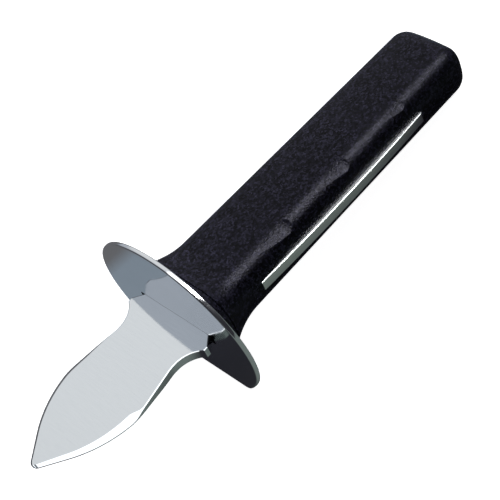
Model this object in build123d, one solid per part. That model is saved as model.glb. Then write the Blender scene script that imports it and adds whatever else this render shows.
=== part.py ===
from build123d import *
import os
from math import cos, radians, sin, sqrt, tan

# Oyster knife with an oval hand guard, in millimetres.
# X runs along the knife towards the blade's tip, Y across the blade, Z through its thickness.
# The origin is the centre of the guard's front face, on the knife's axis.
# Distances along the handle are measured back from the guard's front face.

# Whole knife
overall_length = 161.6
blade_reach = 53.7  # from the guard's front face to the tip
overrun = 5.0  # how far a cutter runs past what it cuts

# Handle: a grip moulded around the tang
grip_start = 17.0  # end of the flare
grip_front_width = 26.8
grip_front_thickness = 16.6
grip_rear_width = 23.6
grip_rear_thickness = 16.2
flare_width = 37.9
flare_thickness = 26.0
butt_round_radius = 5.4

# Fingertip scoops along one shoulder of the grip, smaller towards the butt
scoop_count = 3
scoop_first_middle = 30.4
scoop_tail_gap = 28.1  # from the middle of the last scoop to the butt's end
scoop_first_length = 12.4
scoop_last_length = 8.0
scoop_first_depth = 0.65
scoop_last_depth = 0.3
scoop_lean = 60.0  # from the knife's width towards its thickness, in degrees

# Tang: its edges lie bare along the grip, as bowed lands that stand proud of the plastic
land_start = 20.0
land_front_proud = 0.1
land_rear_proud = 0.5
land_bow = 0.75  # rise of the lands' arc above the line between their ends
land_ramp = 1.2
land_tail_gap = 20.9  # from the lands' rear ends to the butt's end
land_rear_radius = 1.4
neck_inset = 0.85  # how far the tang inside the flare lies back from the lands
tang_tail_gap = 9.9  # from the tang's tail to the butt's end
tang_tail_cover = 1.6  # plastic beside the tail
tang_tail_radius = 5.0
lock_hole_count = 2  # the moulding runs through these holes
lock_hole_diameter = 8.0

# Blade: one steel blank with the tang
blank_thickness = 3.2
tip_thickness = 1.0  # the faces are ground thinner towards the tip
shoulder_overhang = 2.4  # past the blank's neck, on each side
shoulder_depth = 2.9  # from the guard's face to the shoulders' front corners
shoulder_crest = 1.2
shoulder_corner_radius = 0.8
waist_width = 22.2
waist_front_radius = 9.0  # between the shoulders and the waist
belly_past_crown = 2.7  # where the flanks meet the edges
belly_corner_radius = 6.0
crown_width = 28.0  # across the edges' arcs
edge_arc_radius = 35.0
edge_run_angle = 38.0  # each straight run to the tip, from the knife's axis
nose_radius = 2.0
edge_break = 0.25  # chamfer along the blunt sides

# Grind: each edge has a wide bevel on one face and a steep one on the other
edge_thickness = 0.3
wide_bevel_angle = 20.0
steep_bevel_angle = 45.0
grind_exit_angle = 13.0  # the grind leaves the edge's arc along this tangent

# Guard: an oval plate, cut flat below so that the knife lies without rolling
guard_width = 56.0
guard_height = 50.4
guard_flat_drop = 18.2  # from the knife's axis down to the flat
guard_corner_radius = 3.5
guard_thickness = 1.4
guard_rim_break = 0.4  # chamfer around the plate
slot_side_clearance = 0.1
slot_end_clearance = 0.4
slot_corner_radius = 0.6

# Shares: fractions of the piece that carries them
crown_share = 0.1  # how far the grip's faces bulge, of its half width and half thickness
corner_share = 0.75  # radius of the grip's long corners, of its half thickness
scoop_reach_share = 1.3  # reach of the cutter, of a scoop's half length
flank_arc_share = 0.29  # radius behind the waist, of an arc that reaches the belly by itself
oval_blend_share = 1.06  # radius of the guard's side arcs, of an ellipse's at its ends
flare_station_shares = (0.0, 0.2, 0.4, 0.6, 0.8, 1.0)

handle_end = overall_length - blade_reach
land_end = handle_end - land_tail_gap
tang_end = handle_end - tang_tail_gap


def on_circle(centre, radius, angle):
    """Point of a circle, with the angle in degrees from +X."""
    return centre + Vector(cos(radians(angle)), sin(radians(angle))) * radius


def arc_about(centre, start, end):
    """Arc of under half a turn about a centre."""
    middle = ((start + end) * 0.5 - centre).normalized() * (start - centre).length
    return ThreePointArc(start, centre + middle, end)


def both_edges(shape):
    """The shape with its mirror image across the knife's width."""
    return shape + mirror(shape, Plane.XZ)


# Sections of the handle


def arc_rise(back, run, rise):
    """Rise of an arc that leaves a straight line and climbs the given rise over a run."""
    radius = (run**2 + rise**2) / (2 * rise)
    return radius - sqrt(radius**2 - back**2)


def grip_size(distance):
    """Half width and half thickness of the handle at a distance behind the guard's face."""
    share = (distance - grip_start) / (handle_end - grip_start)
    half_width = (grip_front_width + (grip_rear_width - grip_front_width) * share) / 2
    half_thickness = (grip_front_thickness + (grip_rear_thickness - grip_front_thickness) * share) / 2
    if distance < grip_start:
        run = grip_start - guard_thickness
        back = grip_start - distance
        half_width = grip_front_width / 2 + arc_rise(back, run, (flare_width - grip_front_width) / 2)
        half_thickness = grip_front_thickness / 2
        half_thickness += arc_rise(back, run, (flare_thickness - grip_front_thickness) / 2)
    return half_width, half_thickness


def grip_section(distance):
    """Crowned, round-cornered section of the handle, square to the knife's axis."""
    half_width, half_thickness = grip_size(distance)
    side = half_width * (1 - crown_share)
    top = half_thickness * (1 - crown_share)
    outline = ThreePointArc((-side, top), (0, half_thickness), (side, top))
    outline += ThreePointArc((side, top), (half_width, 0), (side, -top))
    outline += ThreePointArc((side, -top), (0, -half_thickness), (-side, -top))
    outline += ThreePointArc((-side, -top), (-half_width, 0), (-side, top))
    face = make_face(outline)
    face = fillet(face.vertices(), half_thickness * corner_share)
    return Plane(origin=(-distance, 0, 0), x_dir=(0, 1, 0), z_dir=(-1, 0, 0)) * face


# Points of the blank's outline, on the +Y side

land_front = Vector(-land_start, grip_size(land_start)[0] + land_front_proud)
land_rear = Vector(-land_end, grip_size(land_end)[0] + land_rear_proud)
land_top = (land_front + land_rear) * 0.5 + Vector(0, land_bow)
tail_corner = Vector(-tang_end, grip_size(tang_end)[0] - tang_tail_cover)
neck = Vector(0, land_front.Y - neck_inset)

shoulder = Vector(shoulder_depth, neck.Y + shoulder_overhang)
hook_start = shoulder + Vector(shoulder_crest, 0)
hook_drop = shoulder.Y - waist_width / 2
hook_length = sqrt(waist_front_radius**2 - (waist_front_radius - hook_drop) ** 2)
waist = Vector(hook_start.X + hook_length, waist_width / 2)

tip = Vector(blade_reach, 0)
nose_centre = tip - Vector(nose_radius, 0)
edge_run_end = on_circle(nose_centre, nose_radius, 90 - edge_run_angle)
apex = blade_reach - nose_radius + nose_radius / sin(radians(edge_run_angle))
edge_drop = edge_arc_radius - crown_width / 2
crown = apex - (edge_arc_radius - edge_drop * cos(radians(edge_run_angle))) / sin(radians(edge_run_angle))
edge_centre = Vector(crown, -edge_drop)
edge_arc_end = on_circle(edge_centre, edge_arc_radius, 90 - edge_run_angle)
belly = edge_centre + Vector(belly_past_crown, sqrt(edge_arc_radius**2 - belly_past_crown**2))

flank = belly - waist
flank_radius = flank_arc_share * flank.length**2 / flank.Y / 2
flank_centre = waist + Vector(0, flank_radius)
to_belly = belly - flank_centre
flank_reach = sqrt(to_belly.length**2 - flank_radius**2)
flank_start = flank_centre + (
    to_belly * flank_radius + Vector(to_belly.Y, -to_belly.X) * flank_reach
) * (flank_radius / to_belly.length**2)


def blade_plan():
    """Outline of the blade in front of the guard."""
    half = Polyline((0, 0), neck, shoulder, hook_start)
    half += arc_about(waist + Vector(0, waist_front_radius), hook_start, waist)
    half += arc_about(flank_centre, waist, flank_start)
    half += Line(flank_start, belly)
    half += arc_about(edge_centre, belly, edge_arc_end)
    half += Line(edge_arc_end, edge_run_end)
    half += arc_about(nose_centre, edge_run_end, tip)
    half += Line(tip, (0, 0))
    face = make_face(half)
    face = fillet(face.vertices().sort_by_distance(belly)[0], belly_corner_radius)
    face = fillet(face.vertices().sort_by_distance(hook_start)[0], shoulder_corner_radius)
    face = fillet(face.vertices().sort_by_distance(shoulder)[0], shoulder_corner_radius)
    return both_edges(face)


def tang_plan():
    """Outline of the tang, from the guard's face to its tail inside the butt."""
    half = Polyline((0, 0), neck, (land_front.X + land_ramp, neck.Y), land_front)
    half += ThreePointArc(land_front, land_top, land_rear)
    half += Polyline(land_rear, (land_rear.X, tail_corner.Y), tail_corner, (tail_corner.X, 0), (0, 0))
    face = make_face(half)
    face = fillet(face.vertices().sort_by_distance(land_rear)[0], land_rear_radius)
    face = fillet(face.vertices().sort_by_distance(tail_corner)[0], tang_tail_radius)
    return both_edges(face)


def taper_cutter():
    """Wedge above the blade, which thins it evenly from the guard to the tip."""
    reach = blade_reach + overrun
    drop = (blank_thickness - tip_thickness) / 2 * reach / blade_reach
    wedge = Polyline(
        (0, blank_thickness / 2),
        (reach, blank_thickness / 2 - drop),
        (reach, blank_thickness),
        (0, blank_thickness),
        close=True,
    )
    return extrude(Plane.XZ * make_face(wedge), shoulder.Y + crown_width, both=True)


def wheel_section(reach, angle):
    """What the wheel takes off beside the edge, up to a reach inside it."""
    rise = reach * tan(radians(angle))
    top = blank_thickness + rise
    return make_face(
        Polyline(
            (0, edge_thickness / 2),
            (overrun, edge_thickness / 2),
            (overrun, top),
            (-reach, top),
            (-reach, edge_thickness / 2 + rise),
            close=True,
        )
    )


def wheel_plane(centre, radius, angle):
    """Plane square to the edge, with X outwards and Y up."""
    outward = (cos(radians(angle)), sin(radians(angle)), 0)
    onward = (sin(radians(angle)), -cos(radians(angle)), 0)
    return Plane(origin=on_circle(centre, radius, angle), x_dir=outward, z_dir=onward)


def bevel_cutter(angle):
    """The grind along the upper side of one edge, from where it fades out behind the belly."""
    section = wheel_section(blank_thickness / 2 / tan(radians(angle)), angle)
    exit_plane = wheel_plane(edge_centre, edge_arc_radius, 90 - grind_exit_angle)
    run_plane = wheel_plane(edge_centre, edge_arc_radius, 90 - edge_run_angle)
    nose_plane = wheel_plane(nose_centre, nose_radius, 90 - edge_run_angle)
    arc_axis = Axis(edge_centre, (0, 0, -1))
    nose_axis = Axis(nose_centre, (0, 0, -1))
    fade = extrude(exit_plane * section, waist.X - exit_plane.origin.X)
    arc = revolve(exit_plane * section, arc_axis, edge_run_angle - grind_exit_angle)
    run = extrude(run_plane * section, (edge_run_end - edge_arc_end).length)
    nose = revolve(nose_plane * wheel_section(nose_radius, angle), nose_axis, 90 - edge_run_angle)
    return fade + arc + run + nose


def make_blade():
    blade = extrude(blade_plan(), blank_thickness / 2, both=True)
    taper = taper_cutter()
    blade -= taper + mirror(taper, Plane.XY)
    sides = blade.edges().filter_by(Axis.Z, reverse=True).filter_by_position(Axis.X, edge_break, belly.X)
    blade = chamfer(sides, edge_break)
    wide = bevel_cutter(wide_bevel_angle)
    steep = mirror(bevel_cutter(steep_bevel_angle), Plane.XZ)
    for bevel in (wide, steep):
        blade -= bevel
        blade -= bevel.rotate(Axis.X, 180)
    tang = extrude(tang_plan(), blank_thickness / 2, both=True)
    hole_pitch = (land_end - land_start) / lock_hole_count
    for index in range(lock_hole_count):
        centre = Pos(-land_start - hole_pitch * (index + 0.5), 0, 0)
        tang -= centre * Cylinder(lock_hole_diameter / 2, blank_thickness + overrun)
    return blade + tang


def guard_oval():
    """Oval of four tangent arcs."""
    side = Vector(guard_width / 2, 0)
    top = Vector(0, guard_height / 2)
    side_radius = oval_blend_share * top.Y**2 / side.X
    top_radius = (side.X**2 + top.Y**2 - 2 * side.X * side_radius) / (top.Y - side_radius) / 2
    side_centre = side - Vector(side_radius, 0)
    top_centre = top - Vector(0, top_radius)
    joint = side_centre + (side_centre - top_centre) * (side_radius / (top_radius - side_radius))
    quarter = arc_about(side_centre, side, joint) + arc_about(top_centre, joint, top)
    quarter += Line(top, (0, 0)) + Line((0, 0), side)
    half = make_face(quarter) + mirror(make_face(quarter), Plane.YZ)
    return half + mirror(half, Plane.XZ)


def make_guard():
    below = Pos(0, -guard_flat_drop) * Rectangle(guard_width, guard_height, align=(Align.CENTER, Align.MAX))
    outline = guard_oval() - below
    outline = fillet(outline.vertices().group_by(Axis.Y)[0], guard_corner_radius)
    plate = extrude(Plane.YZ * outline, -guard_thickness)
    plate = chamfer(plate.edges().filter_by(Axis.X, reverse=True), guard_rim_break)
    slot_width = 2 * (land_top.Y + slot_end_clearance)
    slot = RectangleRounded(slot_width, blank_thickness + 2 * slot_side_clearance, slot_corner_radius)
    return plate - extrude(Plane.YZ * slot, guard_thickness + overrun, both=True)


def scoop_middle(index):
    """Distance of a scoop's middle behind the guard's face, evenly spaced along the grip."""
    span = handle_end - scoop_tail_gap - scoop_first_middle
    return scoop_first_middle + span * index / (scoop_count - 1)


def shoulder_point(distance, lean):
    """Point of the grip's long corner, in a direction from the knife's width to its thickness."""
    half_width, half_thickness = grip_size(distance)
    box_corner = Vector(-distance, half_width, half_thickness)
    corner_arc = grip_section(distance).edges().sort_by_distance(box_corner)[0]
    return corner_arc.arc_center + lean * corner_arc.radius


def scoop(middle, length, depth):
    """Cutter for one scoop: an arc along the shoulder, carried straight across it."""
    lean = Vector(0, cos(radians(scoop_lean)), sin(radians(scoop_lean)))
    front = shoulder_point(middle - length / 2, lean)
    rear = shoulder_point(middle + length / 2, lean)
    along = (front - rear).normalized()
    plane = Plane(origin=(front + rear) * 0.5, x_dir=along, z_dir=along.cross(lean))
    bend = (length**2 / 4 + depth**2) / (2 * depth)
    reach = length / 2 * scoop_reach_share
    rise = bend - depth - sqrt(bend**2 - reach**2)
    outline = ThreePointArc((reach, rise), (0, -depth), (-reach, rise))
    outline += Polyline((-reach, rise), (-reach, overrun), (reach, overrun), (reach, rise))
    return extrude(plane * make_face(outline), grip_front_thickness / 2, both=True)


def make_handle(blade):
    flare_length = grip_start - guard_thickness
    flare = loft([grip_section(guard_thickness + flare_length * share) for share in flare_station_shares])
    between_scoops = [scoop_middle(index + 0.5) for index in range(scoop_count - 1)]
    grip = loft([grip_section(distance) for distance in (grip_start, *between_scoops, handle_end)], ruled=True)
    grip = fillet(grip.edges().group_by(Axis.X)[0], butt_round_radius)
    handle = flare + grip
    for index in range(scoop_count):
        share = index / (scoop_count - 1)
        length = scoop_first_length + (scoop_last_length - scoop_first_length) * share
        depth = scoop_first_depth + (scoop_last_depth - scoop_first_depth) * share
        handle -= scoop(scoop_middle(index), length, depth)
    return handle - blade


os.makedirs("parts", exist_ok=True)
blade = make_blade()
export_step(blade, "parts/blade.step")
export_step(make_guard(), "parts/guard.step")
export_step(make_handle(blade), "parts/handle.step")
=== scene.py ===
import bpy
import bmesh
import math
from mathutils import Matrix, Vector


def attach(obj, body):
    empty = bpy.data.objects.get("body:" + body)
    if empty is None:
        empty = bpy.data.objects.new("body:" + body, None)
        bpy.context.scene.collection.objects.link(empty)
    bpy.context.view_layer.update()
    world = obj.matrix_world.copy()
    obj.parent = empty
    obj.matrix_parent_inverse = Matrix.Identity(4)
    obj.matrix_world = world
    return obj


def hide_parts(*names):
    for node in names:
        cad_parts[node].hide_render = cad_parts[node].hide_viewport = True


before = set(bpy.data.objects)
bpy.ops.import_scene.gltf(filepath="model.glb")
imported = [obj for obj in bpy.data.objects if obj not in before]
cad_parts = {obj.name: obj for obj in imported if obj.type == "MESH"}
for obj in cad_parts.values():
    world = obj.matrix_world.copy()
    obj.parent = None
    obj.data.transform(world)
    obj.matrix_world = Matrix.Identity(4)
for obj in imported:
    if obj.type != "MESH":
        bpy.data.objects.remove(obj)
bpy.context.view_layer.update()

mm = 0.001
near = 0.004          # millimetres within which a vertex counts as at a place
mergeGap = 0.002      # millimetres within which doubles are merged
scene = bpy.context.scene
print("frame loaded:", ", ".join(sorted(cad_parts)))


# camera at the photograph's viewing angle, with the picture's right and up as directions
cameraSettings = {
    "place": (97.39, 246.93, 298.80),
    "right": (-0.6629, 0.6898, -0.2911),
    "up": (-0.6835, -0.3988, 0.6114),
    "lens": 110.06,
    "sensor": 36,
    "clipStart": 10,
}


def turnTo(piece, right, up, back):
    # turn a camera or a lamp, which look and shine away from their back
    piece.rotation_euler = Matrix((right, up, back)).transposed().to_euler()


def addCamera(settings):
    right = Vector(settings["right"]).normalized()
    back = right.cross(Vector(settings["up"])).normalized()
    bpy.ops.object.select_all(action="DESELECT")
    bpy.ops.object.camera_add(location=Vector(settings["place"]) * mm)
    camera = bpy.context.object
    camera.name = "photoCamera"
    turnTo(camera, right, back.cross(right), back)
    camera.data.sensor_width = settings["sensor"]
    camera.data.lens = settings["lens"]
    camera.data.clip_start = settings["clipStart"] * mm
    scene.camera = camera


addCamera(cameraSettings)
scene.view_settings.view_transform = "Standard"
print("camera placed")


# small tools for modelling by place, all in millimetres

def startVertex(name, place):
    # a plane merged to one vertex, to extrude and spin from
    bpy.ops.object.select_all(action="DESELECT")
    bpy.ops.mesh.primitive_plane_add(size=mm, location=(0, 0, 0))
    piece = bpy.context.object
    piece.name = name
    bpy.ops.object.mode_set(mode="EDIT")
    bpy.ops.mesh.select_mode(type="VERT")
    bpy.ops.mesh.select_all(action="SELECT")
    bpy.ops.mesh.merge(type="CENTER")
    slide(place)
    return piece


def slide(move):
    bpy.ops.transform.translate(value=Vector(move) * mm)


def drag(move):
    # extrude what is selected and move it on
    bpy.ops.mesh.extrude_region_move(TRANSFORM_OT_translate={"value": Vector(move) * mm})


def pick(kind, test):
    # select verts, edges or faces by their place in the mesh
    bpy.ops.mesh.select_mode(type=kind[:-1].upper())
    bpy.ops.mesh.select_all(action="DESELECT")
    mesh = bmesh.from_edit_mesh(bpy.context.object.data)
    for item in getattr(mesh, kind):
        if kind == "verts":
            hit = test(item.co / mm)
        elif kind == "edges":
            first, last = (vert.co for vert in item.verts)
            hit = test((first + last) / 2 / mm, (last - first) / mm)
        else:
            hit = test(item.calc_center_median() / mm, item.normal)
        item.select_set(bool(hit))
    mesh.select_flush_mode()
    bmesh.update_edit_mesh(bpy.context.object.data)


def spinArc(centre, degrees, steps):
    # carry the selected vertices round a centre, from the top towards +Y
    bpy.ops.mesh.spin(steps=steps, angle=math.radians(degrees),
                      center=Vector(centre) * mm, axis=(1, 0, 0))


def mergeDoubles():
    bpy.ops.mesh.select_all(action="SELECT")
    bpy.ops.mesh.remove_doubles(threshold=mergeGap * mm)


def evenPlaces(start, step, count):
    return [start + step * number for number in range(1, count + 1)]


def selectOnly(*pieces):
    # the last one named becomes the active one
    bpy.ops.object.select_all(action="DESELECT")
    for piece in pieces:
        piece.select_set(True)
    bpy.context.view_layer.objects.active = pieces[-1]


def addModifier(piece, kind, **values):
    modifier = piece.modifiers.new(kind.title(), kind)
    for key, value in values.items():
        setattr(modifier, key, value)
    selectOnly(piece)
    bpy.ops.object.modifier_apply(modifier=modifier.name)


def cutAway(piece, cutter):
    addModifier(piece, "BOOLEAN", operation="DIFFERENCE", object=cutter, solver="EXACT")
    bpy.data.objects.remove(cutter)


def closeMesh(piece):
    # merge doubles, fill what is open and turn the faces outwards
    selectOnly(piece)
    bpy.ops.object.mode_set(mode="EDIT")
    bpy.ops.mesh.select_mode(type="VERT")
    mergeDoubles()
    bpy.ops.mesh.select_all(action="DESELECT")
    bpy.ops.mesh.select_non_manifold()
    bpy.ops.mesh.fill_holes(sides=0)
    bpy.ops.mesh.select_all(action="SELECT")
    bpy.ops.mesh.normals_make_consistent(inside=False)
    bpy.ops.object.mode_set(mode="OBJECT")


def applyPlace():
    bpy.ops.object.transform_apply(location=True, rotation=True, scale=True)


def finishPiece(piece, node, degrees):
    selectOnly(piece)
    applyPlace()
    bpy.ops.object.shade_smooth_by_angle(angle=math.radians(degrees))
    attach(piece, "root")
    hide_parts(node)
    print(piece.name, "made,", len(piece.data.polygons), "faces")


# shader groups that several materials share

def newGroup(name, inputs, outputs):
    group = bpy.data.node_groups.new(name, "ShaderNodeTree")
    for label, kind, value in [("Vector", "NodeSocketVector", None)] + inputs:
        socket = group.interface.new_socket(label, in_out="INPUT", socket_type=kind)
        if value is not None:
            socket.default_value = value
    for label in outputs:
        group.interface.new_socket(label, in_out="OUTPUT", socket_type="NodeSocketFloat")
    group.nodes.new("NodeGroupInput").location = (-900, 0)
    group.nodes.new("NodeGroupOutput").location = (700, 0)
    return group, group.nodes["Group Input"].outputs, group.nodes["Group Output"].inputs


def addNode(tree, kind, place, settings=None, links=None):
    # settings are the node's own or those of its sockets, links join its sockets to others
    node = tree.nodes.new(kind)
    node.location = place
    for key, value in (settings or {}).items():
        if isinstance(key, str) and hasattr(node, key):
            setattr(node, key, value)
        else:
            node.inputs[key].default_value = value
    for key, source in (links or {}).items():
        tree.links.new(source, node.inputs[key])
    return node


def addMath(tree, place, operation, first, second):
    # each side is a number or another node's output
    node = addNode(tree, "ShaderNodeMath", place, {"operation": operation})
    for index, value in enumerate((first, second)):
        if isinstance(value, (int, float)):
            node.inputs[index].default_value = value
        else:
            tree.links.new(value, node.inputs[index])
    return node.outputs[0]


grainRecipe = {
    "fuzzFineness": 1.7,          # of the noise, against the pebbles
    "fuzzDetail": 3.0,
    "fuzzShare": 0.55,            # of the height
    "rarity": 2.0,                # a higher power leaves fewer bright pebbles
    "dust": (0.30, 0.55),
}


def makeGrainGroup(settings):
    # pebbled grain of moulded plastic: height for the bump and a speckle mask
    group, given, out = newGroup(
        "mouldGrain",
        [("Grain Size", "NodeSocketFloat", 0.4), ("Roughen", "NodeSocketFloat", 0.5)],
        ["Height", "Speckle"],
    )
    scale = addMath(group, (-700, -150), "DIVIDE", 1 / mm, given["Grain Size"])
    pebble = addNode(group, "ShaderNodeTexVoronoi", (-450, 150), {"feature": "F1"},
                     {"Vector": given["Vector"], "Scale": scale})
    finer = addMath(group, (-450, -300), "MULTIPLY", scale, settings["fuzzFineness"])
    fuzz = addNode(group, "ShaderNodeTexNoise", (-250, -150), {"Detail": settings["fuzzDetail"]},
                   {"Vector": given["Vector"], "Scale": finer, "Roughness": given["Roughen"]})
    blend = addNode(group, "ShaderNodeMix", (0, 50), {"data_type": "FLOAT", "Factor": settings["fuzzShare"]},
                    {2: pebble.outputs["Distance"], 3: fuzz.outputs["Fac"]})
    # every pebble gets a random tone, used for lighter pebbles that are partly the grain's own tone and partly
    # painted glints
    chance = addNode(group, "ShaderNodeSeparateColor", (-200, 350), None, {0: pebble.outputs["Color"]})
    rare = addMath(group, (0, 350), "POWER", chance.outputs[0], settings["rarity"])
    low, high = settings["dust"]
    dust = addNode(group, "ShaderNodeMapRange", (0, -200), {"From Min": low, "From Max": high},
                   {"Value": fuzz.outputs["Fac"]})
    speckle = addMath(group, (250, 100), "MULTIPLY", rare, dust.outputs[0])
    group.links.new(blend.outputs[0], out["Height"])
    group.links.new(speckle, out["Speckle"])
    return group


linesRecipe = {
    "detail": (4.0, 2.0),         # of the coarse and the fine lines
    "roughness": 0.65,
    "fineStretch": (2.9, 1.7, 2.3),
    "fineShare": 0.45,
    "middle": 0.5,                # the contrast grows from here
}


def makeLinesGroup(settings):
    # fine lines of ground or brushed steel, which run where the stretch is small
    group, given, out = newGroup(
        "grindLines",
        [("Stretch", "NodeSocketVector", (1, 1, 1)), ("Contrast", "NodeSocketFloat", 1.0)],
        ["Height", "Lines"],
    )
    coarseDetail, fineDetail = settings["detail"]
    stretched = addNode(group, "ShaderNodeVectorMath", (-650, 0), {"operation": "MULTIPLY"},
                        {0: given["Vector"], 1: given["Stretch"]}).outputs[0]
    coarse = addNode(group, "ShaderNodeTexNoise", (-400, 150),
                     {"Scale": 1.0, "Detail": coarseDetail, "Roughness": settings["roughness"]},
                     {"Vector": stretched})
    finer = addNode(group, "ShaderNodeVectorMath", (-400, -200),
                    {"operation": "MULTIPLY", 1: settings["fineStretch"]}, {0: stretched})
    fine = addNode(group, "ShaderNodeTexNoise", (-200, -150), {"Scale": 1.0, "Detail": fineDetail},
                   {"Vector": finer.outputs[0]})
    both = addNode(group, "ShaderNodeMix", (50, 0), {"data_type": "FLOAT", "Factor": settings["fineShare"]},
                   {2: coarse.outputs["Fac"], 3: fine.outputs["Fac"]}).outputs[0]
    centred = addMath(group, (250, -100), "SUBTRACT", both, settings["middle"])
    scaled = addMath(group, (420, -100), "MULTIPLY", centred, given["Contrast"])
    lines = addMath(group, (580, -100), "ADD", scaled, settings["middle"])
    lines.node.use_clamp = True
    group.links.new(both, out["Height"])
    group.links.new(lines, out["Lines"])
    return group


wearRecipe = {
    "detail": 5.0,
    "roughness": 0.6,
    "distortion": 0.4,
    "faint": 0.75,                # less the coverage, the cloud's value where marks begin
    "full": 1.05,
}


def makeWearGroup(settings):
    # broad uneven patches of handling: smudges on steel, rubbed sheen on plastic
    group, given, out = newGroup(
        "handlingMarks",
        [("Patch Size", "NodeSocketFloat", 12.0), ("Coverage", "NodeSocketFloat", 0.5)],
        ["Marks", "Cloud"],
    )
    scale = addMath(group, (-650, -100), "DIVIDE", 1 / mm, given["Patch Size"])
    cloud = addNode(group, "ShaderNodeTexNoise", (-450, 100),
                    {"Detail": settings["detail"], "Roughness": settings["roughness"],
                     "Distortion": settings["distortion"]},
                    {"Vector": given["Vector"], "Scale": scale}).outputs["Fac"]
    low = addMath(group, (-250, -150), "SUBTRACT", settings["faint"], given["Coverage"])
    high = addMath(group, (-250, -300), "SUBTRACT", settings["full"], given["Coverage"])
    marks = addNode(group, "ShaderNodeMapRange", (50, 50), {"interpolation_type": "SMOOTHSTEP"},
                    {"Value": cloud, "From Min": low, "From Max": high})
    group.links.new(marks.outputs[0], out["Marks"])
    group.links.new(cloud, out["Cloud"])
    return group


grainGroup = makeGrainGroup(grainRecipe)
linesGroup = makeLinesGroup(linesRecipe)
wearGroup = makeWearGroup(wearRecipe)
print("shader groups made")


def newMaterial(name, metallic):
    material = bpy.data.materials.new(name)
    material.use_nodes = True
    tree = material.node_tree
    shader = tree.nodes["Principled BSDF"]
    shader.inputs["Metallic"].default_value = metallic
    place = addNode(tree, "ShaderNodeTexCoord", (-1300, 0)).outputs["Object"]
    return material, tree, shader, place


def useGroup(tree, group, place, values, vector):
    node = addNode(tree, "ShaderNodeGroup", place)
    node.node_tree = group
    for key, value in values.items():
        node.inputs[key].default_value = value
    tree.links.new(vector, node.inputs["Vector"])
    return node.outputs


def useColours(tree, shader, mask, first, second):
    # the base colour goes from the first to the second with the mask
    node = addNode(tree, "ShaderNodeMix", (-500, 300), {"data_type": "RGBA"}, {"Factor": mask})
    node.inputs[6].default_value = (*first, 1)        # its colour sockets share their names with others
    node.inputs[7].default_value = (*second, 1)
    tree.links.new(node.outputs[2], shader.inputs["Base Color"])


def useRoughness(tree, shader, firstMask, firstRange, secondMask, secondRange):
    # two masks from 0 to 1 are carried into their ranges and added
    parts = []
    for y, mask, (low, high) in ((0, firstMask, firstRange), (-250, secondMask, secondRange)):
        node = addNode(tree, "ShaderNodeMapRange", (-700, y), {"To Min": low, "To Max": high}, {"Value": mask})
        parts.append(node.outputs[0])
    tree.links.new(addMath(tree, (-450, -50), "ADD", *parts), shader.inputs["Roughness"])


def addBump(tree, place, height, strength, distance):
    return addNode(tree, "ShaderNodeBump", place, {"Strength": strength, "Distance": distance * mm},
                   {"Height": height}).outputs["Normal"]


# blade and tang: one blank of ground steel
bladeSteel = {
    "bright": (0.80, 0.83, 0.85),
    "dull": (0.73, 0.765, 0.79),
    "roughness": (0.02, 0.05),
    "lineStretch": (5200, 160, 160),      # lines run across the blade
    "contrast": 2.2,
    "lineDepth": 0.004,
    "bump": 0.5,
    "smudgeSize": 16,
    "coverage": 0.35,
    "smudge": 0.02,                       # added to the roughness
}
landSteel = {
    "bright": (0.86, 0.87, 0.87),
    "dull": (0.70, 0.73, 0.72),
    "roughness": (0.12, 0.22),
    "lineStretch": (120, 2600, 2600),     # polished along the grip
    "contrast": 2.2,
    "lineDepth": 0.005,
    "bump": 0.5,
    "smudgeSize": 9,
    "coverage": 0.35,
    "smudge": 0.05,
}


def makeSteel(name, settings):
    material, tree, shader, place = newMaterial(name, 1.0)
    lines = useGroup(tree, linesGroup, (-1000, 200),
                     {"Stretch": settings["lineStretch"], "Contrast": settings["contrast"]}, place)
    marks = useGroup(tree, wearGroup, (-1000, -200),
                     {"Patch Size": settings["smudgeSize"], "Coverage": settings["coverage"]}, place)
    useColours(tree, shader, lines["Lines"], settings["dull"], settings["bright"])
    useRoughness(tree, shader, lines["Lines"], settings["roughness"],
                 marks["Marks"], (0.0, settings["smudge"]))
    bump = addBump(tree, (-400, -350), lines["Height"], settings["bump"], settings["lineDepth"])
    tree.links.new(bump, shader.inputs["Normal"])
    return material


bladeShape = {
    "neck": 12.6,                 # half width through the guard
    "shoulder": (2.9, 15.0),      # front corners of the shoulders
    "hook": 4.1,                  # where the round into the waist starts
    "waist": (11.51, 11.1),
    "hookRadius": 9.0,
    "hookEase": 0.999,            # brings the round's start to the shoulder
    "belly": (27.7, 13.9),
    "bellySoftness": 0.8,
    "flankRadius": 14.0,
    "edgeCentre": (24.98, -21.0),
    "edgeRadius": 35.0,
    "runAngle": 38.0,
    "nose": 2.0,
    "tip": 53.69,
    "thickness": 3.2,
    "tipThickness": 1.0,
    "edge": 0.4,
    # each edge is ground wide on one face and steep on the other: angle, start and full depth
    "wideBevel": (20.0, 25.0, 29.2),
    "steepBevel": (31.0, 15.0, 29.2),
    "noseBevel": 50.0,
    "edgeBreak": (0.30, 0.11),    # in from the side, down from the face
    "slopeStep": 0.05,            # for reading how steeply the outline runs in
    "slopeLimit": 60,             # of that slope squared, at the nose
    "least": 0.02,                # half width of the face that is left at the nose
    # cuts across the blade: at the shoulders, in even runs (start, step, count) and at the nose
    "shoulderCuts": (0, 0.8, 1.6, 2.3, 2.75, 2.9, 3.4, 4.1),
    "evenCuts": ((4.1, 0.6, 11), (11.51, 0.9, 19), (28.9, 0.85, 25)),
    "noseCuts": (50.9, 51.6, 52.2, 52.6, 52.92, 53.2, 53.4, 53.54, 53.63, 53.68),
    "smoothing": 14,
}


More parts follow.
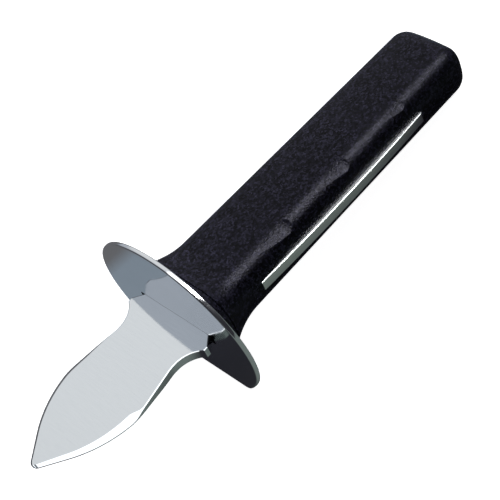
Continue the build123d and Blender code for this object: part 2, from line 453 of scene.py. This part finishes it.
def bladeOutline(settings):
    # half width of the blade at a distance in front of the guard
    neck, hook, soft, nose = (settings[key] for key in ("neck", "hook", "bellySoftness", "nose"))
    hookRadius, flankRadius, edgeRadius = (settings[key] for key in ("hookRadius", "flankRadius", "edgeRadius"))
    shoulderX, shoulderY = settings["shoulder"]
    waistX, waistY = settings["waist"]
    bellyX, bellyY = settings["belly"]
    edgeX, edgeY = settings["edgeCentre"]
    hookY, flankY = waistY + hookRadius, waistY + flankRadius
    # the flank leaves its round on the line that touches it and runs to the belly
    reach = math.hypot(bellyX - waistX, bellyY - flankY)
    slope = math.atan2(bellyY - flankY, bellyX - waistX) + math.asin(flankRadius / reach)
    leave = waistX + flankRadius * math.sin(slope)
    run = math.radians(settings["runAngle"])
    runStart = edgeX + edgeRadius * math.sin(run)
    runHeight = edgeY + edgeRadius * math.cos(run)
    noseCentre = settings["tip"] - nose

    def halfWidth(x):
        if x <= shoulderX:
            return neck + (shoulderY - neck) * (x / shoulderX)
        if x <= hook:
            return shoulderY
        if x <= waistX:
            back = (x - waistX) * settings["hookEase"]
            return hookY - math.sqrt(hookRadius ** 2 - back ** 2)
        if x <= leave:
            return flankY - math.sqrt(flankRadius ** 2 - (x - waistX) ** 2)
        if x <= runStart:
            arc = edgeY + math.sqrt(edgeRadius ** 2 - (x - edgeX) ** 2)
            line = bellyY + (x - bellyX) * math.tan(slope)
            blend = max(0.0, 1 - abs(line - arc) / soft)
            return min(arc, line) - soft / 4 * blend * blend
        if x <= noseCentre + nose * math.sin(run):
            return runHeight - (x - runStart) * math.tan(run)
        return math.sqrt(max(0.0, nose ** 2 - (x - noseCentre) ** 2))

    return halfWidth


def plainStation(side, top, edgeBreak):
    # half widths of the edge and the face, then their half heights, where nothing is ground
    return side, side - edgeBreak[0], top - edgeBreak[1], top


def bladeStation(settings, halfWidth, x, bevel):
    # the same for one cut across the blade
    side = halfWidth(x)
    top = settings["thickness"] / 2
    top -= (settings["thickness"] - settings["tipThickness"]) / 2 * x / settings["tip"]
    angle, start, full = bevel
    if x < start:
        return plainStation(side, top, settings["edgeBreak"])
    breakWide, breakDeep = settings["edgeBreak"]
    edge = settings["edge"] / 2
    slope = (side - halfWidth(x + settings["slopeStep"])) / settings["slopeStep"]
    steep = math.sqrt(1 + min(slope * slope, settings["slopeLimit"]))
    wide = min((top - edge) / math.tan(math.radians(angle)) * steep, side - settings["least"])
    share = min(1, (x - start) / (full - start))
    share = share * share * (3 - 2 * share)       # the grind starts and ends softly
    wide = breakWide + (wide - breakWide) * share
    low = (top - breakDeep) * (1 - share) + edge * share
    nearTip = max(settings["tip"] - x, settings["least"])
    noseTop = edge + nearTip * math.tan(math.radians(settings["noseBevel"]))
    return side, side - wide, low, min(top, noseTop)


def nextStation(before, here, last, now):
    # draw the section out to the next place and bring it to its own widths and heights there
    pick("verts", lambda co: abs(co.x - before) < near)
    drag((here - before, 0, 0))
    side, face, low, top = last
    newSide, newFace, newLow, newTop = now
    steps = (
        # rim of the face, middle of the face, height of the edge, and width of the whole side
        (lambda co: co.z > low + near and co.y > near, (0, newFace - face, newTop - top)),
        (lambda co: co.z > low + near and co.y < near, (0, 0, newTop - top)),
        (lambda co: abs(co.y - side) < near and co.z > near, (0, 0, newLow - low)),
        (lambda co: abs(co.y - side) < near, (0, newSide - side, 0)),
    )
    for test, move in steps:
        pick("verts", lambda co: abs(co.x - here) < near and test(co))
        slide(move)


def drawQuarter(settings, bevel):
    # a quarter of the section as a wire: middle of the face, its rim, the edge, middle of the side
    halfWidth = bladeOutline(settings)
    cuts = list(settings["shoulderCuts"])
    for start, step, count in settings["evenCuts"]:
        cuts += evenPlaces(start, step, count)
    cuts += settings["noseCuts"]

    last = bladeStation(settings, halfWidth, 0, bevel)
    side, face, low, top = last
    quarter = startVertex("blankQuarter", (0, 0, top))
    drag((0, face, 0))
    drag((0, side - face, low - top))
    drag((0, 0, -low))
    for before, here in zip(cuts, cuts[1:]):
        now = bladeStation(settings, halfWidth, here, bevel)
        nextStation(before, here, last, now)
        last = now
    return quarter


tangShape = {
    "ramp": (-18.8, 12.6),        # where the tang begins to widen inside the grip
    "landFront": (-20.0, 13.44),
    "landRear": (-87.0, 12.66),
    "landCuts": 24,
    "bow": 0.75,                  # rise of the lands' arc above the line between their ends
    "endRound": 1.4,
    "endTurns": (20, 40, 60, 75, 88),
    "endStep": 0.01,              # keeps the land's square end upright
    "tail": (-97.9, 10.37),       # inside the grip
    "edgeBreak": (0.27, 0.10),
    "landMaterialFrom": -18,      # the polish of the lands starts behind here
}


def landHeight(settings, x):
    frontX, frontY = settings["landFront"]
    rearX, rearY = settings["landRear"]
    share = (x - frontX) / (rearX - frontX)
    return frontY + (rearY - frontY) * share + settings["bow"] * (1 - (2 * share - 1) ** 2)


def tangStations(settings):
    # distance from the guard's face and half width, along the bare land and on to the tail
    front, rear, radius = settings["landFront"][0], settings["landRear"][0], settings["endRound"]
    roundStart = rear + radius
    stations = [settings["ramp"], settings["landFront"]]
    for step in range(1, settings["landCuts"] + 1):
        x = front + (roundStart - front) * step / settings["landCuts"]
        stations.append((x, landHeight(settings, x)))
    centre = landHeight(settings, roundStart) - radius
    for degrees in settings["endTurns"]:
        turn = math.radians(degrees)
        stations.append((roundStart - radius * math.sin(turn), centre + radius * math.cos(turn)))
    return stations + [(rear - settings["endStep"], settings["tail"][1]), settings["tail"]]


def drawTang(settings, blank):
    # the tang goes on backwards from the section at the guard's face
    top = blank["thickness"] / 2
    before, last = 0, plainStation(blank["neck"], top, blank["edgeBreak"])
    for here, side in tangStations(settings):
        now = plainStation(side, top, settings["edgeBreak"])
        nextStation(before, here, last, now)
        before, last = here, now


def makeBlank(settings, tang):
    # two quarters make the upper half, and its copy turned over makes the lower one
    quarters = []
    for bevel in (settings["wideBevel"], settings["steepBevel"]):
        quarters.append(drawQuarter(settings, bevel))
        drawTang(tang, settings)
        bpy.ops.object.mode_set(mode="OBJECT")
    quarters[1].scale = (1, -1, 1)
    selectOnly(*quarters)
    applyPlace()
    bpy.ops.object.join()
    blank = bpy.context.object
    bpy.ops.object.duplicate()
    turned = bpy.context.object
    turned.rotation_euler = (math.pi, 0, 0)
    applyPlace()
    selectOnly(turned, blank)
    bpy.ops.object.join()
    blank.name = "bladeAndTang"
    closeMesh(blank)
    return blank


def splitSteel(blade, first, second, border):
    # the bare lands on the grip are polished along it
    blade.data.materials.append(first)
    blade.data.materials.append(second)
    bpy.ops.object.mode_set(mode="EDIT")
    pick("faces", lambda middle, normal: middle.x < border)
    blade.active_material_index = 1
    bpy.ops.object.material_slot_assign()
    bpy.ops.object.mode_set(mode="OBJECT")


blade = makeBlank(bladeShape, tangShape)
splitSteel(blade, makeSteel("groundBladeSteel", bladeSteel), makeSteel("polishedLandSteel", landSteel),
           tangShape["landMaterialFrom"])
finishPiece(blade, "blade", bladeShape["smoothing"])


# guard: an oval plate of polished steel
guardShape = {
    "width": 55.998,
    "height": 50.38,
    "points": 256,
    "flatDrop": 18.2,
    "thickness": 1.4,
    "corner": 3.5,
    "cornerSteps": 10,
    "rim": 0.4,
    "rimSteps": 4,
    "ring": 0.08,                 # inset of the flats
    "facing": 0.999,              # how squarely a face looks along the knife to get its ring
    "slot": (8, 28.4, 3.4),       # the cutter's length, and the slot's own width and height
    "slotCorner": 0.6,
    "slotSteps": 5,
    "smoothing": 24,
}
guardSteel = {
    "clean": (0.80, 0.815, 0.83),
    "hazy": (0.72, 0.74, 0.765),
    "roughness": (0.06, 0.13),
    "scratchStretch": (2400, 2400, 90),
    "contrast": 1.6,
    "scratchDepth": 0.0015,
    "bump": 0.3,
    "scratchHaze": 0.03,
    "smudgeSize": 11,
    "coverage": 0.4,
}


def makeGuardMaterial(settings):
    material, tree, shader, place = newMaterial("polishedGuardSteel", 1.0)
    scratches = useGroup(tree, linesGroup, (-1000, 200),
                         {"Stretch": settings["scratchStretch"], "Contrast": settings["contrast"]}, place)
    marks = useGroup(tree, wearGroup, (-1000, -200),
                     {"Patch Size": settings["smudgeSize"], "Coverage": settings["coverage"]}, place)
    useColours(tree, shader, marks["Cloud"], settings["clean"], settings["hazy"])
    useRoughness(tree, shader, marks["Marks"], settings["roughness"],
                 scratches["Lines"], (0.0, settings["scratchHaze"]))
    bump = addBump(tree, (-400, -350), scratches["Height"], settings["bump"], settings["scratchDepth"])
    tree.links.new(bump, shader.inputs["Normal"])
    return material


def makeGuard(settings):
    bpy.ops.object.select_all(action="DESELECT")
    bpy.ops.mesh.primitive_circle_add(
        vertices=settings["points"], radius=settings["width"] / 2 * mm, fill_type="NGON",
        location=(-settings["thickness"] * mm, 0, 0), rotation=(0, math.pi / 2, 0))
    guard = bpy.context.object
    guard.name = "handGuard"
    applyPlace()
    bpy.ops.object.mode_set(mode="EDIT")
    bpy.ops.mesh.select_all(action="SELECT")
    bpy.ops.transform.resize(value=(1, 1, settings["height"] / settings["width"]), center_override=(0, 0, 0))
    bpy.ops.mesh.bisect(plane_co=(0, 0, -settings["flatDrop"] * mm), plane_no=(0, 0, 1), clear_inner=True)
    roundFlatCorners(settings)
    bpy.ops.mesh.select_all(action="SELECT")
    drag((settings["thickness"], 0, 0))
    bpy.ops.mesh.select_all(action="SELECT")
    bpy.ops.mesh.normals_make_consistent(inside=False)
    pick("edges", lambda middle, along: abs(along.x) < near)
    bpy.ops.mesh.bevel(offset=settings["rim"] * mm, segments=settings["rimSteps"], profile=0.5, affect="EDGES")
    # a narrow ring on each face keeps the round rim's shading off the flats
    pick("faces", lambda middle, normal: abs(normal.x) > settings["facing"])
    bpy.ops.mesh.inset(thickness=settings["ring"] * mm)
    bpy.ops.object.mode_set(mode="OBJECT")
    cutAway(guard, makeSlotCutter(settings))
    return guard


def roundFlatCorners(settings):
    # trim the ends of the arc back to the rounds' tangent points, and spin each round from there
    radius = settings["corner"]
    a, b = settings["width"] / 2 - radius, settings["height"] / 2 - radius
    height = radius - settings["flatDrop"]
    out = a * math.sqrt(1 - (height / b) ** 2)
    angle = math.atan2(height / b ** 2, out / a ** 2)
    touchZ = height + radius * math.sin(angle)
    pick("verts", lambda co: co.z < touchZ)
    bpy.ops.mesh.delete(type="VERT")
    for side in (1, -1):
        mesh = bmesh.from_edit_mesh(bpy.context.object.data)
        ends = [vert.co / mm for vert in mesh.verts if vert.co.y * side > 0]
        lowest = min(ends, key=lambda co: co.z)
        pick("verts", lambda co: (co - lowest).length < near)
        drag((0, side * (out + radius * math.cos(angle)) - lowest.y, touchZ - lowest.z))
        spinArc((-settings["thickness"], side * out, height), side * math.degrees(math.pi / 2 + angle),
                settings["cornerSteps"])
    mergeDoubles()
    bpy.ops.mesh.edge_face_add()


def makeSlotCutter(settings):
    # the blank's slot, with rounded corners
    bpy.ops.object.select_all(action="DESELECT")
    bpy.ops.mesh.primitive_cube_add(size=1, location=(0, 0, 0))
    cutter = bpy.context.object
    bpy.ops.object.mode_set(mode="EDIT")
    bpy.ops.mesh.select_all(action="SELECT")
    bpy.ops.transform.resize(value=Vector(settings["slot"]) * mm, center_override=(0, 0, 0))
    pick("edges", lambda middle, along: abs(along.x) > near)
    bpy.ops.mesh.bevel(offset=settings["slotCorner"] * mm, segments=settings["slotSteps"], profile=0.5,
                       affect="EDGES")
    bpy.ops.object.mode_set(mode="OBJECT")
    return cutter


guard = makeGuard(guardShape)
guard.data.materials.append(makeGuardMaterial(guardSteel))
finishPiece(guard, "guard", guardShape["smoothing"])


# handle: moulded black plastic
handleShape = {
    "front": (26.8, 16.6),        # width and thickness where the flare ends
    "rear": (23.6, 16.2),
    "flare": (37.9, 26.0),        # and at the guard
    "start": 17.0,
    "end": 107.9,
    "guardBack": 1.4,
    "crown": 0.1,                 # bulge of each side, as a share of the half size
    "corner": 0.75,               # radius, as a share of the half thickness
    "arcSteps": (14, 12, 8),      # crown, corner and side of a quarter of the section
    "gripCuts": 40,
    "flareCuts": (-0.9, 11),      # step towards the guard, and count
    "groove": (5.75, 6.25, 0.3),  # front, rear and depth
    "grooveWall": 0.06,
    "grooveLead": 6.6,            # last cut before the groove
    "collarCuts": (5.0, 4.2, 3.4, 2.6, 2.0),
    "buttRound": 5.4,
    "buttRoom": 1.15,             # times the round, free of cuts
    "buttSteps": 12,
    "smoothing": 12,
}
scoopShape = {
    "count": 3,
    "middles": (30.4, 79.8),      # first and last, behind the guard's face
    "lengths": (12.4, 8.0),
    "depths": (0.66, 0.38),
    "deepest": 0.76,              # share of the length, measured from the front
    "frontPower": 1.3,            # the floor sinks a little faster further back
    "frontSteps": 14,
    "rearSteps": 8,
    "lean": 58.0,                 # from the knife's width towards its thickness
    "hollow": 13.0,               # radius of the floor, across the shoulder
    "spread": 25.0,
    "spreadSteps": 24,
    "reach": 1.8,                 # past both ends
    "reachRise": (0.12, 0.45),    # slope of that reach, at the front and the rear
    "rise": 3.0,
}
handlePlastic = {
    "base": (0.0004, 0.0003, 0.0012),
    # lighter pebbles: partly the grain's own tone, partly painted glints standing in for light the pebbles catch
    "pebbleToneAndGlint": (0.050, 0.047, 0.082),        # colour of the pebbles that catch the light
    "sheen": (0.84, 0.84, 1.0),
    "shine": 0.09,
    "roughness": (0.34, 0.22),    # pits and raised grain
    "rubbed": -0.07,              # change where it is rubbed smooth
    "grain": 0.56,
    "roughen": 0.6,
    "grainDepth": 0.16,
    "grainBump": 0.8,
    "patch": 22,
    "coverage": 0.45,
    "waveDepth": 0.25,
    "waveBump": 0.25,
}


def makeHandleMaterial(settings):
    material, tree, shader, place = newMaterial("mouldedBlackPlastic", 0.0)
    shader.inputs["Specular IOR Level"].default_value = settings["shine"]
    shader.inputs["Specular Tint"].default_value = (*settings["sheen"], 1)
    grain = useGroup(tree, grainGroup, (-1000, 200),
                     {"Grain Size": settings["grain"], "Roughen": settings["roughen"]}, place)
    marks = useGroup(tree, wearGroup, (-1000, -200),
                     {"Patch Size": settings["patch"], "Coverage": settings["coverage"]}, place)
    # base colour lightened on the speckle: the grain's tone together with painted glints
    useColours(tree, shader, grain["Speckle"], settings["base"], settings["pebbleToneAndGlint"])
    useRoughness(tree, shader, grain["Speckle"], settings["roughness"],
                 marks["Marks"], (0.0, settings["rubbed"]))
    waves = addBump(tree, (-650, -450), marks["Cloud"], settings["waveBump"], settings["waveDepth"])
    bump = addBump(tree, (-400, -350), grain["Height"], settings["grainBump"], settings["grainDepth"])
    tree.links.new(waves, bump.node.inputs["Normal"])
    tree.links.new(bump, shader.inputs["Normal"])
    return material


def sectionArcs(settings):
    # a quarter of the grip's front section: centres of its crown, corner and side, and two angles
    halfWidth, halfHeight = settings["front"][0] / 2, settings["front"][1] / 2
    side, top = halfWidth * (1 - settings["crown"]), halfHeight * (1 - settings["crown"])
    crownRadius = (side ** 2 + (halfHeight - top) ** 2) / (halfHeight - top) / 2
    sideRadius = (top ** 2 + (halfWidth - side) ** 2) / (halfWidth - side) / 2
    crownCentre = Vector((0, halfHeight - crownRadius))
    sideCentre = Vector((halfWidth - sideRadius, 0))
    # the corner's round touches both of the others from inside
    radius = halfHeight * settings["corner"]
    first, second = crownRadius - radius, sideRadius - radius
    span = sideCentre - crownCentre
    apart = span.length
    along = (first ** 2 - second ** 2 + apart ** 2) / apart / 2
    across = math.sqrt(first ** 2 - along ** 2)
    unit = span / apart
    foot, offset = crownCentre + unit * along, Vector((-unit.y, unit.x)) * across
    corner = foot + offset
    if corner.x < 0 or corner.y < 0:
        corner = foot - offset
    startAngle = math.degrees(math.atan2((corner - crownCentre).x, (corner - crownCentre).y))
    endAngle = math.degrees(math.atan2((corner - sideCentre).y, (corner - sideCentre).x))
    return crownCentre, corner, sideCentre, startAngle, endAngle


def handleSize(settings, distance):
    # half width and half thickness at a distance behind the guard's face
    start = settings["start"]
    share = (distance - start) / (settings["end"] - start)
    run = start - settings["guardBack"]
    size = []
    for front, rear, flare in zip(settings["front"], settings["rear"], settings["flare"]):
        if distance < start:
            rise = (flare - front) / 2
            radius = (run ** 2 + rise ** 2) / rise / 2
            size.append(front / 2 + radius - math.sqrt(radius ** 2 - (start - distance) ** 2))
        else:
            size.append((front + (rear - front) * share) / 2)
    return size


def makeHandle(settings):
    crownCentre, corner, sideCentre, startAngle, endAngle = sectionArcs(settings)
    crownSteps, cornerSteps, sideSteps = settings["arcSteps"]
    start, end = settings["start"], settings["end"]
    handle = startVertex("handleGrip", (-start, 0, settings["front"][1] / 2))
    spinArc((-start, *crownCentre), startAngle, crownSteps)
    spinArc((-start, *corner), 90 - startAngle - endAngle, cornerSteps)
    spinArc((-start, *sideCentre), endAngle, sideSteps)
    mergeDoubles()

    cuts = settings["gripCuts"]
    straight = end - settings["buttRound"] * settings["buttRoom"]
    rear = [start + (straight - start) * step / cuts for step in range(1, cuts + 1)]
    drawSections(settings, rear + [end])
    grooveFront, grooveRear, depth = settings["groove"]
    wall = settings["grooveWall"]
    front = evenPlaces(start, *settings["flareCuts"])
    front += [settings["grooveLead"], (grooveRear, 0), (grooveRear - wall, depth)]
    front += [(grooveFront + wall, depth), (grooveFront, 0)]
    front += [*settings["collarCuts"], settings["guardBack"]]
    drawSections(settings, front)
    bpy.ops.object.mode_set(mode="OBJECT")
    addModifier(handle, "MIRROR", use_axis=(False, True, True), merge_threshold=mergeGap * mm)
    closeMesh(handle)
    bpy.ops.object.mode_set(mode="EDIT")
    pick("edges", lambda middle, along: abs(middle.x + end) < near)
    bpy.ops.mesh.bevel(offset=settings["buttRound"] * mm, segments=settings["buttSteps"], profile=0.5,
                       affect="EDGES", clamp_overlap=False)
    bpy.ops.object.mode_set(mode="OBJECT")
    return handle


def drawSections(settings, distances):
    # extrude the section wire from place to place and resize it at each, less an inset if one is given
    before, size = settings["start"], handleSize(settings, settings["start"])
    for item in distances:
        here, inset = item if isinstance(item, tuple) else (item, 0)
        now = [value - inset for value in handleSize(settings, here)]
        pick("verts", lambda co: abs(co.x + before) < near)
        drag((before - here, 0, 0))
        bpy.ops.transform.resize(value=(1, now[0] / size[0], now[1] / size[1]),
                                 center_override=(-here * mm, 0, 0))
        before, size = here, now


def shoulderPoint(handle, distance, outward):
    # point of the grip's long corner in a direction across the knife
    corner = sectionArcs(handle)[1]
    size, front = handleSize(handle, distance), handleSize(handle, handle["start"])
    radius = handle["corner"] * front[1]
    wide, high = size[0] / front[0], size[1] / front[1]
    return Vector((-distance, (corner.x + radius * outward.y) * wide, (corner.y + radius * outward.z) * high))


def scoopProfile(settings, length, depth, slope):
    # places along the shoulder and heights above it, from front to rear and back over the top
    deepest, reach = settings["deepest"], settings["reach"]
    frontRise, rearRise = settings["reachRise"]
    points = [(length / 2 + reach, frontRise * reach)]
    for step in range(settings["frontSteps"] + 1):
        share = step / settings["frontSteps"]
        points.append((length * (0.5 - deepest * share), -depth * share ** settings["frontPower"]))
    for step in range(1, settings["rearSteps"] + 1):
        share = step / settings["rearSteps"]
        points.append((length * (0.5 - deepest - (1 - deepest) * share), -depth * (1 - share ** 2)))
    points.append((-length / 2 - reach, rearRise * reach))
    points = [(along, height + slope * along) for along, height in points]
    return points + [(points[-1][0], settings["rise"]), (points[0][0], settings["rise"]), points[0]]


def makeScoopCutter(settings, handle, index):
    # the profile is spun about a line above the shoulder, so that the scoop is hollow
    along = index / (settings["count"] - 1)
    ranges = (settings["middles"], settings["lengths"], settings["depths"])
    middle, length, depth = (first + (last - first) * along for first, last in ranges)
    lean, spread = math.radians(settings["lean"]), math.radians(settings["spread"])
    outward = Vector((0, math.cos(lean), math.sin(lean)))
    front = shoulderPoint(handle, middle - length / 2, outward)
    rear = shoulderPoint(handle, middle + length / 2, outward)
    axis = (front + rear) / 2 + outward * settings["hollow"]
    points = scoopProfile(settings, length, depth, (front - rear).dot(outward) / length)

    begin = lean + math.pi - spread
    inward = Vector((0, math.cos(begin), math.sin(begin)))
    firstX, firstHeight = points[0]
    place = axis + Vector((firstX, 0, 0)) + inward * (settings["hollow"] - firstHeight)
    cutter = startVertex("scoopCutter%d" % index, place)
    for before, here in zip(points, points[1:]):
        drag(Vector((here[0] - before[0], 0, 0)) - inward * (here[1] - before[1]))
    mergeDoubles()
    bpy.ops.mesh.edge_face_add()
    spinArc(axis, -2 * settings["spread"], settings["spreadSteps"])
    bpy.ops.object.mode_set(mode="OBJECT")
    closeMesh(cutter)
    return cutter


handle = makeHandle(handleShape)
for scoopIndex in range(scoopShape["count"]):
    cutAway(handle, makeScoopCutter(scoopShape, handleShape, scoopIndex))
handle.data.materials.append(makeHandleMaterial(handlePlastic))
finishPiece(handle, "handle", handleShape["smoothing"])


# floor, lights and surroundings
studio = {
    "floorPoint": (-1.0, 0, -18.2),     # the guard's flat stands here
    "floorTilt": 5.66,                  # so that the butt touches as well
    "floorSize": 6000,
    "floorCard": (0.9, 0.9, 0.9),
    "floorGlow": 0.97,
    "floorDim": (0.05, 0.05, 0.053),    # what the floor sends back into the shadows
    # painted reflection and painted shadow: the floor glows only for polished steel, slate beside the knife and
    # dark under the blade, in millimetres across the knife within the span
    "floorSpan": 50,
    "floorReflectionAndShadow": (
        (-50, (0.12, 0.12, 0.125)),
        (-44, (0.20, 0.245, 0.29)),
        (-14, (0.20, 0.245, 0.29)),
        # painted shadow under the blade, from here to 19
        (-5, (0.018, 0.018, 0.024)),
        (19, (0.018, 0.018, 0.022)),
        (27, (0.15, 0.18, 0.165)),
    ),
    "pale": (0.97, 0.97, 0.97),
    # brightness of the room by how near its direction is to the key light's
    "keyFrom": (-0.45, -0.55, 0.70),
    "roomTones": (
        (0.0, (0.03, 0.03, 0.035)),
        (0.45, (0.07, 0.07, 0.08)),
        (0.60, (0.16, 0.17, 0.19)),
        (0.70, (0.46, 0.49, 0.54)),
        (0.80, (0.49, 0.52, 0.57)),
        (0.88, (0.76, 0.77, 0.78)),
        (0.95, (0.81, 0.82, 0.83)),
        (1.0, (0.82, 0.83, 0.84)),
    ),
}
# the key lights the plastic's colour, and the other two are seen only as gloss
softLights = {
    "keySoftbox": {
        "from": studio["keyFrom"],
        "distance": 900,
        "size": (760, 760),
        "power": 3.1,
        "glossOnly": False,
    },
    "topSoftbox": {
        "from": (-0.02, 0.11, 0.99),
        "distance": 600,
        "size": (660, 380),
        "power": 1.15,
        "glossOnly": True,
    },
    "shoulderStrip": {
        "from": (-0.37, 0.31, 0.87),
        "distance": 600,
        "size": (400, 220),
        "power": 5.2,
        "glossOnly": True,
    },
}


def addRamp(tree, place, value, stops):
    node = addNode(tree, "ShaderNodeValToRGB", place, None, {0: value})
    elements = node.color_ramp.elements
    elements.remove(elements[1])
    elements[0].position, elements[0].color = stops[0][0], (*stops[0][1], 1)
    for position, colour in stops[1:]:
        elements.new(position).color = (*colour, 1)
    return node.outputs["Color"]


def mixForCamera(tree, place, others, camera):
    # one shader for what the camera sees directly, and one for everything else
    path = addNode(tree, "ShaderNodeLightPath", (place[0] - 250, place[1] + 400))
    return addNode(tree, "ShaderNodeMixShader", place, None,
                   {0: path.outputs["Is Camera Ray"], 1: others.outputs[0], 2: camera.outputs[0]}).outputs[0]


def makeFloorMaterial(settings):
    material = bpy.data.materials.new("paleFloorCard")
    material.use_nodes = True
    tree = material.node_tree
    tree.nodes.remove(tree.nodes["Principled BSDF"])
    matte = addNode(tree, "ShaderNodeBsdfDiffuse", (-400, 100), {"Color": (*settings["floorCard"], 1)})
    lit = addNode(tree, "ShaderNodeEmission", (-400, -300),
                  {"Color": (1, 1, 1, 1), "Strength": settings["floorGlow"]})
    seen = addNode(tree, "ShaderNodeAddShader", (-150, 200), None, {0: matte.outputs[0], 1: lit.outputs[0]})

    # the steel's view of the floor is a painted reflection: glowing tones across the knife, with a painted shadow
    # under the blade
    span = settings["floorSpan"]
    place = addNode(tree, "ShaderNodeTexCoord", (-1200, 0)).outputs["Object"]
    split = addNode(tree, "ShaderNodeSeparateXYZ", (-1000, 0), None, {0: place})
    across = addNode(tree, "ShaderNodeMapRange", (-800, 0), {"From Min": -span * mm, "From Max": span * mm},
                     {"Value": split.outputs["Y"]})
    stops = [((y + span) / (2 * span), colour) for y, colour in settings["floorReflectionAndShadow"]]
    tone = addRamp(tree, (-600, 0), across.outputs[0], stops)
    glow = addNode(tree, "ShaderNodeEmission", (-400, -100), None, {"Color": tone})
    dim = addNode(tree, "ShaderNodeBsdfDiffuse", (-400, -450), {"Color": (*settings["floorDim"], 1)})
    mirrored = addNode(tree, "ShaderNodeAddShader", (-150, -200), None, {0: dim.outputs[0], 1: glow.outputs[0]})
    tree.links.new(mixForCamera(tree, (100, 100), mirrored, seen), tree.nodes["Material Output"].inputs["Surface"])
    return material


def addFloor(settings):
    bpy.ops.object.select_all(action="DESELECT")
    bpy.ops.mesh.primitive_plane_add(
        size=settings["floorSize"] * mm, location=Vector(settings["floorPoint"]) * mm,
        rotation=(0, math.radians(settings["floorTilt"]), 0))
    floor = bpy.context.object
    floor.name = "paleFloor"
    applyPlace()
    floor.data.materials.append(makeFloorMaterial(settings))


def addSoftLight(name, settings):
    back = Vector(settings["from"]).normalized()
    along = Vector((0, 1, 0)).cross(back).normalized()
    bpy.ops.object.select_all(action="DESELECT")
    bpy.ops.object.light_add(type="AREA", location=back * settings["distance"] * mm)
    light = bpy.context.object
    light.name = name
    turnTo(light, along, back.cross(along), back)
    light.data.shape = "RECTANGLE"
    light.data.size, light.data.size_y = (length * mm for length in settings["size"])
    light.data.energy = settings["power"]
    light.visible_camera = False
    light.visible_diffuse = not settings["glossOnly"]
    light.visible_glossy = settings["glossOnly"]


def addSurroundings(settings):
    world = bpy.data.worlds.new("softRoom")
    scene.world = world
    world.use_nodes = True
    tree = world.node_tree
    room = tree.nodes["Background"]
    place = addNode(tree, "ShaderNodeTexCoord", (-1200, 0)).outputs["Generated"]
    toKey = addNode(tree, "ShaderNodeVectorMath", (-1000, 0),
                    {"operation": "DOT_PRODUCT", 1: Vector(settings["keyFrom"]).normalized()}, {0: place})
    tone = addRamp(tree, (-800, 0), toKey.outputs["Value"], settings["roomTones"])
    tree.links.new(tone, room.inputs["Color"])
    pale = addNode(tree, "ShaderNodeBackground", (-400, -200), {"Color": (*settings["pale"], 1)})
    tree.links.new(mixForCamera(tree, (-100, 0), room, pale), tree.nodes["World Output"].inputs["Surface"])


addFloor(studio)
for lightName, lightSettings in softLights.items():
    addSoftLight(lightName, lightSettings)
addSurroundings(studio)
print("studio lit")
